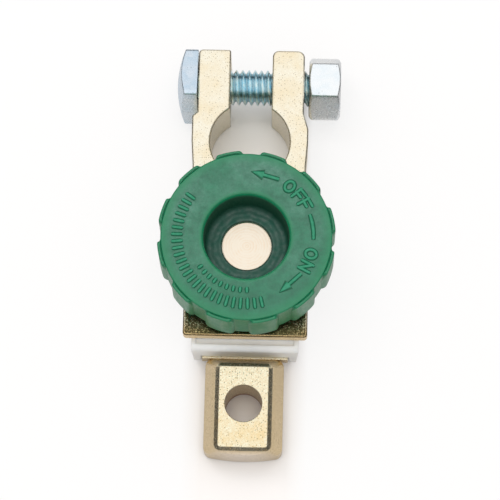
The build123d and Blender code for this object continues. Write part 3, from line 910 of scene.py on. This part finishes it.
def knobGrid(shape):
    # The notch's outline, plus the lobe's difference from it times the lobe's rise, plus the rib's
    # difference in the middle of every second lobe, swept round the knob's axis
    turned, local = knobAngles(shape)
    angle = np.radians(turned + shape["turn"])
    notch, lobed, ribbed = knobSections(shape)
    half, foot = shape["lobeHalfAngle"], shape["lobeFootAngle"]
    rise = 1 - (1 - np.clip((foot - np.abs(local)) / (foot - half), 0, 1)) ** shape["lobeSwell"]
    everySecond = np.round((turned - local) / (360 / shape["lobes"])).astype(int) % 2 == 0
    rib = (everySecond & (np.abs(local) < shape["ribHalfAngle"])).astype(float)
    section = notch[:, None] + (lobed - notch)[:, None] * rise[None, :, None]
    section = section + (ribbed - notch)[:, None] * rib[None, :, None]
    radius, height = section[..., 0], section[..., 1]
    radius[-3:-1] = hexagonRadius(angle, shape["seatAcrossFlats"])[None]  # the seat's two outer lines
    x = knobAxis[0] + radius * np.cos(angle)[None]
    y = knobAxis[1] + radius * np.sin(angle)[None]
    return np.stack([x, y, height], axis=-1)


def knobDishFaces(shape, grid, beyond=0.1, below=0.05):
    # 1 for the faces whose middles lie inside the dish's rim and above its floor, 0 for the others
    middle = (grid + np.roll(grid, -1, axis=0)) / 2
    away = np.hypot(middle[..., 0] - knobAxis[0], middle[..., 1] - knobAxis[1])
    inDish = (away < shape["dishRadius"] + beyond) & (middle[..., 2] > dishFloor - below)
    return inDish.astype(np.int32)


knobSurface = knobGrid(knobShape)
knobPiece = makePiece(
    "knob_moulding", [gridShell(knobSurface, loop=True)], knobGreen, "knob",
    replaced=("knob",),
)
knobPiece.data.materials.append(greenDish("dishGreen", dishFinish, knobAxis, dishFloor))
knobPiece.data.polygons.foreach_set("material_index", knobDishFaces(knobShape, knobSurface).ravel())


# Raised marks on the knob's face: the two switch words, their arrows and dash, and plain ticks.
# Places on the ring are angles in degrees; ticks are the first angle, the last and their number.
marks = {
    "ring": 14.5,
    "stroke": 1.0,
    "letterHeight": 3.4,
    "letterWidth": 2.75,
    "offLetters": (51.0, 39.5, 29.9),
    "onLetters": (-15.0, -26.7),
    "middleBar": 0.05,
    "roundWiden": 0.1,
    "roundSteps": 49,
    "offArrow": (62.0, 87.4),
    "onArrow": (-34.2, -59.6),
    "arrowShaft": 1.1,
    "arrowHeadLength": 2.9,
    "arrowHeadWidth": 2.6,
    "arrowTaper": (0.92, 0.04),
    "arrowSteps": (8, 12),
    "headStart": 0.05,
    "taperStart": 0.3,
    "dash": (20.5, -2.1),
    "dashWidth": 1.15,
    "dashSteps": 24,
    "dashCap": 0.3,
    "dashBluntness": 0.2,
    "outerTicks": (145.0, 284.0, 25),
    "outerTickSpan": (13.7, 16.3),
    "innerTicks": (216.0, 272.0, 9),
    "innerTickSpan": (11.3, 12.7),
    # Half of a stroke's section, from its foot to its middle: shares of the half width and the height
    "halfSide": (1.0, 1.0, 0.82, 0.64, 0.52, 0.3, 0),
    "halfRise": (0, 0, 0.1, 0.36, 0.82, 0.98, 1.0),
    "sunk": 0.06,
    "endRise": 3,
    "capStart": 0.12,
    "capSteps": 6,
    "strokeSteps": 12,
}


def strokeShell(path, widths):
    # Carries a low rounded section along a path on the face; widths gives its breadth at each point.
    # Its height falls at the ends, where the breadth times endRise is below the greatest breadth.
    path, widths = np.asarray(path, float), np.asarray(widths, float)
    along = np.gradient(path, axis=0)
    along /= np.linalg.norm(along, axis=1)[:, None]
    across = np.stack([-along[:, 1], along[:, 0]], axis=1)
    side, level = np.array(marks["halfSide"]), np.array(marks["halfRise"])
    side, level = np.concatenate([side, -side[-2::-1]]), np.concatenate([level, level[-2::-1]])
    rise = knobShape["markHeight"] * level
    rise[[0, -1]] = -marks["sunk"]
    spots = path[:, None] + across[:, None] * side[None, :, None] * widths[:, None, None] / 2
    squeeze = np.clip(widths / widths.max() * marks["endRise"], 0, 1)
    height = faceHeight + np.where(rise > 0, rise[None] * squeeze[:, None], rise[None])
    return gridShell(np.dstack([spots, height]))


def straightStroke(start, end, width):
    # Along its last half width its breadth falls to nothing like a slot's end: the breadth is the
    # sine of an angle, at 1 minus its cosine from the end
    length = np.linalg.norm(end - start)
    sweep = np.linspace(marks["capStart"], math.pi / 2, marks["capSteps"])
    cap, reach = np.sin(sweep), (1 - np.cos(sweep)) * width / 2
    body = np.linspace(width / 2, length - width / 2, marks["strokeSteps"])[1:-1]
    place = np.concatenate([reach, body, length - reach[::-1]])
    breadth = np.concatenate([cap, np.ones(len(body)), cap[::-1]]) * width
    return strokeShell(start + (end - start) / length * place[:, None], breadth)


def ringPlace(angle, across=0.0, out=0.0):
    # A letter's own axes on the ring: across runs clockwise, out points away from the axis
    turn = math.radians(angle)
    away = np.array([math.cos(turn), math.sin(turn)])
    clockwise = np.array([away[1], -away[0]])
    across, out = np.asarray(across, float), np.asarray(out, float)
    return knobAxis + away * marks["ring"] + clockwise * across[..., None] + away * out[..., None]


def roundLetter(angle):
    # An ellipse on the letter's axes
    turn = np.linspace(0, 2 * math.pi, marks["roundSteps"])
    wide = (marks["letterWidth"] - marks["stroke"]) / 2 + marks["roundWiden"]
    tall = (marks["letterHeight"] - marks["stroke"]) / 2
    path = ringPlace(angle, wide * np.cos(turn), tall * np.sin(turn))
    return strokeShell(path, np.full(len(turn), marks["stroke"]))


def letterShells(letter, angle):
    # O is round; the others are straight strokes, given by the places (across, out) of their ends
    if letter == "O":
        return [roundLetter(angle)]
    inset, bar = marks["stroke"] / 2, marks["middleBar"]
    wide, tall = marks["letterWidth"] / 2 - inset, marks["letterHeight"] / 2 - inset
    left, right, top = -wide - inset, wide + inset, tall + inset
    strokes = {
        "F": [((-wide, -top), (-wide, top)), ((left, tall), (right, tall)), ((left, bar), (wide, bar))],
        "N": [((-wide, -top), (-wide, top)), ((-wide, tall), (wide, -tall)), ((wide, -top), (wide, top))],
    }
    places = (ringPlace(angle, *np.transpose(ends)) for ends in strokes[letter])
    return [straightStroke(*ends, marks["stroke"]) for ends in places]


def arrowShell(tail, tip):
    # A straight shaft, then a head that starts at its full breadth and tapers evenly to the tip
    start, end = ringPlace(tail), ringPlace(tip)
    length = np.linalg.norm(end - start)
    head = length - marks["arrowHeadLength"]
    shaftSteps, headSteps = marks["arrowSteps"]
    shaftPlace = np.linspace(0, head, shaftSteps)
    taperPlace = np.linspace(head + marks["taperStart"], length, headSteps)
    place = np.concatenate([shaftPlace, [head + marks["headStart"]], taperPlace])
    headShare = np.concatenate([[1], np.linspace(*marks["arrowTaper"], headSteps)])
    breadth = np.concatenate([np.full(shaftSteps, marks["arrowShaft"]), headShare * marks["arrowHeadWidth"]])
    return strokeShell(start + (end - start) / length * place[:, None], breadth)


def dashShell():
    # An arc on the ring, whose breadth is a sine to a low power, so that its ends are blunt
    angle = np.radians(np.linspace(*marks["dash"], marks["dashSteps"]))
    path = knobAxis + marks["ring"] * np.stack([np.cos(angle), np.sin(angle)], axis=1)
    sweep = np.linspace(marks["dashCap"], math.pi - marks["dashCap"], marks["dashSteps"])
    return strokeShell(path, marks["dashWidth"] * np.sin(sweep) ** marks["dashBluntness"])


def tickShells(angles, span):
    # Radial strokes between two distances from the axis
    near, far = span
    ways = [np.array([math.cos(turn), math.sin(turn)]) for turn in np.radians(np.linspace(*angles))]
    return [straightStroke(knobAxis + way * near, knobAxis + way * far, marks["stroke"]) for way in ways]


def markShells():
    # The words letter by letter, then the arrows, the dash and both rows of ticks
    shells = []
    for word, angles in (("OFF", marks["offLetters"]), ("ON", marks["onLetters"])):
        for letter, angle in zip(word, angles):
            shells += letterShells(letter, angle)
    shells += [arrowShell(*marks["offArrow"]), arrowShell(*marks["onArrow"]), dashShell()]
    shells += tickShells(marks["outerTicks"], marks["outerTickSpan"])
    return shells + tickShells(marks["innerTicks"], marks["innerTickSpan"])


markGreen = markedGreen("markGreen", markFinish, faceHeight, knobShape["markHeight"])
makePiece("knob_marks", markShells(), markGreen, "knob", crease=60)


# Clamp bolt and nut: round about the bolt's axis, with one screw surface that both share
boltShape = {
    "threadRadius": 4.0,
    "pitch": 1.411,
    "threadDepth": 0.82,
    "crestShare": 0.14,
    "flankShare": 0.68,
    "threadStart": 0.02,
    "tipChamfer": 0.9,
    "tipSoftness": 0.03,
    "acrossFlats": 12.5,
    "headThickness": 4.6,
    "headTurn": 18.0,
    "headCorner": 0.8,
    "cornerSpread": 4.2,
    "domeRadius": 21.0,
    # Distances from the axis where the dome has stations: from, to and how many
    "domeStations": ((0.4, 5.6, 9), (5.8, 9.2, 24)),
    # The head's side and back: how far before its seat, and the greatest distance from the axis
    "headStations": ((1.8, 9.5), (0.15, 9.3), (0.06, 8.8), (0, 8.4), (0, 7.0), (0, 6.0), (0, 5.0)),
    "softness": 0.09,
    "steps": 108,
    "stationsPerTurn": 14,
}
nutShape = {
    "acrossFlats": 13.0,
    "turn": -3.0,
    "cornerCut": 0.12,
    "cornerSoftness": 0.06,
    "cornerSpread": 2.4,
    "faceRadius": 6.05,
    "faceStation": 5.2,
    "chamfer": 0.9,
    "chamferSlope": 2.1,
    "chamferSteps": 8,
    "sideInset": 0.4,
    "sideLimit": 9.5,
    "sideSteps": 4,
    "countersink": 0.45,
    "threadGap": 0.07,
    "threadInset": 0.04,
}


def softMin(first, second, softness):
    # Smaller of two values, with the meeting edge rounded over about softness millimetres
    return -softness * np.logaddexp(-first / softness, -second / softness)


def screwRadius(x, angle, radius, shape):
    # The radius falls by the thread's depth as the place along the helix moves away from the crest:
    # flat over the crest's share of half a pitch, straight over the flank's, flat in the root
    share = (x / shape["pitch"] - angle / (2 * math.pi)) % 1.0
    away = np.abs(2 * share - 1)
    depth = np.clip((away - shape["crestShare"]) / shape["flankShare"], 0, 1)
    return radius - shape["threadDepth"] * depth


def roundAxis(x, radius, angle):
    # Stations x by angles about the bolt's axis, turning from +Y towards +Z
    y = boltAxis[0] + radius * np.cos(angle)
    z = boltAxis[1] + radius * np.sin(angle)
    return np.stack([x + 0 * radius, y, z], axis=-1)


def squareRadius(angle, half, corner):
    # Distance to a square's side along a ray, or to its corner circle where the ray meets that first
    along = np.maximum(np.abs(np.cos(angle)), np.abs(np.sin(angle)))
    across = np.minimum(np.abs(np.cos(angle)), np.abs(np.sin(angle)))
    centre = half - corner
    reach = (along + across) * centre
    cornerRadius = reach + np.sqrt(np.maximum(reach ** 2 - 2 * centre ** 2 + corner ** 2, 0))
    return np.where(half * across / along > centre, cornerRadius, half / along)


def cornerAngles(steps, corners, spread, perCorner=7):
    # Even steps round the axis, and a few more within spread of each corner, all in radians. Rounding
    # to 0.0001 joins those that fall together.
    even = np.linspace(0, 2 * math.pi, steps, endpoint=False)
    near = (corners[:, None] + np.linspace(-spread, spread, perCorner)) % (2 * math.pi)
    return np.unique(np.round(np.concatenate([even, near.ravel()]), 4))[None]


def boltGrid(shape):
    # Radius at each station and angle: the square head limited by its dome and edges, then the screw
    # surface limited by the tip's chamfer. The dome is part of a sphere: its depth is the distance
    # from the axis squared over twice the sphere's radius.
    corners = np.radians(np.arange(4) * 90 + 45 - shape["headTurn"])
    angle = cornerAngles(shape["steps"], corners, math.radians(shape["cornerSpread"]))
    end, tip = boltLow[0], boltHigh[0]
    seat = end + shape["headThickness"]
    dome = np.concatenate([np.linspace(*stations) for stations in shape["domeStations"]])
    before, limit = np.transpose(shape["headStations"])
    headX = np.concatenate([end + dome ** 2 / (2 * shape["domeRadius"]), seat - before])
    headLimit = np.concatenate([dome, limit])[:, None]
    turned = angle + math.radians(shape["headTurn"])
    square = squareRadius(turned, shape["acrossFlats"] / 2, shape["headCorner"])
    head = softMin(square, headLimit, shape["softness"])
    stations = int((tip - seat) / shape["pitch"] * shape["stationsPerTurn"])
    threadX = np.linspace(seat + shape["threadStart"], tip, stations)
    tipLimit = shape["threadRadius"] - shape["tipChamfer"] + tip - threadX
    thread = screwRadius(threadX[:, None], angle, shape["threadRadius"], shape)
    thread = softMin(thread, tipLimit[:, None], shape["tipSoftness"])
    return roundAxis(np.concatenate([headX, threadX])[:, None], np.concatenate([head, thread]), angle)


def nutGrid(shape, bolt):
    # Outside, the hexagon limited by its rounded corners and by the chamfers at both ends; inside,
    # the screw surface opened by the countersinks
    corners = np.radians(np.arange(6) * 60 + shape["turn"])
    angle = cornerAngles(bolt["steps"], corners, math.radians(shape["cornerSpread"]))
    start, end = nutLow[0], nutHigh[0]
    mouth = bolt["threadRadius"] + shape["countersink"]
    chamfer = np.linspace(0, shape["chamfer"], shape["chamferSteps"])
    bevel = shape["faceRadius"] + chamfer * shape["chamferSlope"]
    limit = np.concatenate([[mouth, shape["faceStation"]], bevel])
    inset = shape["chamfer"] + shape["sideInset"]
    side = np.linspace(start + inset, end - inset, shape["sideSteps"])
    outerX = np.concatenate([[start, start], start + chamfer, side, end - chamfer[::-1], [end, end]])
    outerLimit = np.concatenate([limit, np.full(shape["sideSteps"], shape["sideLimit"]), limit[::-1]])
    hexagon = hexagonRadius(angle, shape["acrossFlats"], shape["turn"])
    cornerRadius = shape["acrossFlats"] / 2 / math.cos(math.radians(30)) - shape["cornerCut"]
    rounded = softMin(hexagon, cornerRadius, shape["cornerSoftness"])
    outer = softMin(rounded, outerLimit[:, None], bolt["softness"])
    stations = int((end - start) / bolt["pitch"] * bolt["stationsPerTurn"])
    innerX = np.linspace(end - shape["threadInset"], start + shape["threadInset"], stations)
    thread = screwRadius(innerX[:, None], angle, bolt["threadRadius"] + shape["threadGap"], bolt)
    nearEnd = np.minimum(innerX - start, end - innerX)
    inner = np.maximum(thread, (mouth - nearEnd)[:, None])
    return roundAxis(np.concatenate([outerX, innerX])[:, None], np.concatenate([outer, inner]), angle)


makePiece(
    "clamp_bolt_threaded", [gridShell(boltGrid(boltShape))], boltZinc, "bolt",
    replaced=("clamp_bolt",),
)
makePiece(
    "clamp_nut_threaded", [gridShell(nutGrid(nutShape, boltShape), loop=True)], nutZinc, "nut",
    replaced=("clamp_nut",),
)


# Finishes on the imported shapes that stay
finishes = {
    "clamp_casting": clampMetal,
    "terminal": terminalMetal,
    "insulator": bodyNylon,
    "bottom_cover": bodyNylon,
    "knob_stud": studMetal,
    "contact_washer": studMetal,
    "retaining_ring": ringSteel,
    "cover_screw_1": screwZinc,
    "cover_screw_2": screwZinc,
    "cover_screw_3": screwZinc,
    "cover_screw_4": screwZinc,
}
for nodeName, material in finishes.items():
    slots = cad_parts[nodeName].data.materials
    slots.clear()
    slots.append(material)
print("packed shapes finished")


# Studio: a pale floor and a pale surround with a dark band at the horizon, and two soft lamps above
studio = {
    "floorSize": 3000.0,
    "floorGap": 0.02,
    "floorColour": (0.88, 0.85, 0.83),
    "floorRoughness": 0.9,
    "floorGloss": 0.1,
    "glowShare": (0.0, 0.75),
    "glowBeside": (9.5, 14.0),
    "glowAhead": (9.0, 17.0),
    "glowInMirrors": 0.15,
    "mirrorReach": (50.0, 110.0),
    "mirrorStretch": (1.6, 0.8, 0),
    "mirrorNear": 0.22,
    "ambient": 0.85,
    "horizon": 0.05,
    "horizonAngles": (15.0, 32.0),
    "zenith": 1.0,
    "white": 1.0,
    "softboxPlace": (partMiddle.x, partMiddle.y + 100.0, 1000.0),
    "softboxSize": 700.0,
    "softboxPower": 3.2,
    "keyPlace": (-350.0, 300.0, 800.0),
    "keySize": 300.0,
    "keyPower": 0.8,
}


def floorPaint(settings):
    # Seen directly the floor is white beside the part and ahead of it, and keeps its own shade under
    # it, where the bore and the bolt hole show it. In mirrors it darkens with distance.
    material, shader = startMaterial(
        "floorPaint", Base_Color=(*settings["floorColour"], 1), Roughness=settings["floorRoughness"],
        Specular_IOR_Level=settings["floorGloss"],
    )
    path = addNode(material, "ShaderNodeLightPath")
    glossyRay = path.outputs["Is Glossy Ray"]
    lateral = mathNode(material, "ABSOLUTE", coordinateNode(material, "X"))
    beside = spanNode(material, lateral, settings["glowBeside"])
    ahead = spanNode(material, coordinateNode(material, "Y"), settings["glowAhead"])
    glowing = rampNode(material, mathNode(material, "MAXIMUM", beside, ahead), (0, 1), settings["glowShare"])
    inMirrors = rampNode(material, glossyRay, (0, 1), (0, settings["glowInMirrors"]))
    looking = mathNode(material, "MAXIMUM", path.outputs["Is Camera Ray"], inMirrors)
    away = radiusNode(material, partMiddle, stretch=settings["mirrorStretch"])
    fade = spanNode(material, away, settings["mirrorReach"], (settings["mirrorNear"], 1))
    white = addNode(material, "ShaderNodeEmission", {"Strength": settings["white"]}).outputs["Emission"]
    dark = addNode(material, "ShaderNodeEmission", {"Strength": settings["horizon"]}).outputs["Emission"]
    seen = blendShaders(material, productNode(material, looking, glowing), shader.outputs["BSDF"], white)
    mirrored = blendShaders(material, productNode(material, glossyRay, fade), seen, dark)
    join(material, mirrored, material.node_tree.nodes["Material Output"].inputs["Surface"])
    return material


def makeFloor(settings):
    # A level square just under the part
    half = settings["floorSize"] / 2
    level = cadLow.z / mm - settings["floorGap"]
    corners = [(-half, -half, level), (half, -half, level), (half, half, level), (-half, half, level)]
    mesh = bpy.data.meshes.new("floor")
    mesh.from_pydata((np.array(corners) * mm).tolist(), [], [(0, 1, 2, 3)])
    mesh.materials.append(floorPaint(settings))
    floor = placeObject("floor", mesh)


def makeLamp(name, place, size, power):
    # A square lamp that looks at the part's middle, and that mirrors don't show
    data = bpy.data.lights.new(name, "AREA")
    data.size = size * mm
    data.energy = power
    lamp = placeObject(name, data)
    lamp.visible_glossy = False
    lamp.location = Vector(place) * mm
    lamp.rotation_euler = (partMiddle - Vector(place)).to_track_quat("-Z", "Y").to_euler()


def makeSurround(settings):
    # Mirrors see a dark horizon that brightens towards the zenith, by the sine of the height; the
    # picture itself sees plain white
    world = bpy.data.worlds.new("surround")
    world.use_nodes = True
    path = addNode(world, "ShaderNodeLightPath")
    direction = addNode(world, "ShaderNodeTexCoord")
    height = partNode(world, direction.outputs["Generated"], "Z")
    heights = [math.sin(math.radians(angle)) for angle in settings["horizonAngles"]]
    levels = (settings["horizon"], settings["zenith"])
    band = rampNode(world, height, heights, levels, interpolation_type="SMOOTHSTEP")
    mirrored = blendNumbers(world, path.outputs["Is Glossy Ray"], settings["ambient"], band)
    seen = mathNode(world, "MAXIMUM", path.outputs["Is Camera Ray"], path.outputs["Is Transmission Ray"])
    background = world.node_tree.nodes["Background"]
    background.inputs["Color"].default_value = (1, 1, 1, 1)
    join(world, blendNumbers(world, seen, mirrored, settings["white"]), background.inputs["Strength"])
    bpy.context.scene.world = world


makeFloor(studio)
makeSurround(studio)
makeLamp("softbox", studio["softboxPlace"], studio["softboxSize"], studio["softboxPower"])
makeLamp("keyLamp", studio["keyPlace"], studio["keySize"], studio["keyPower"])
print("studio built")
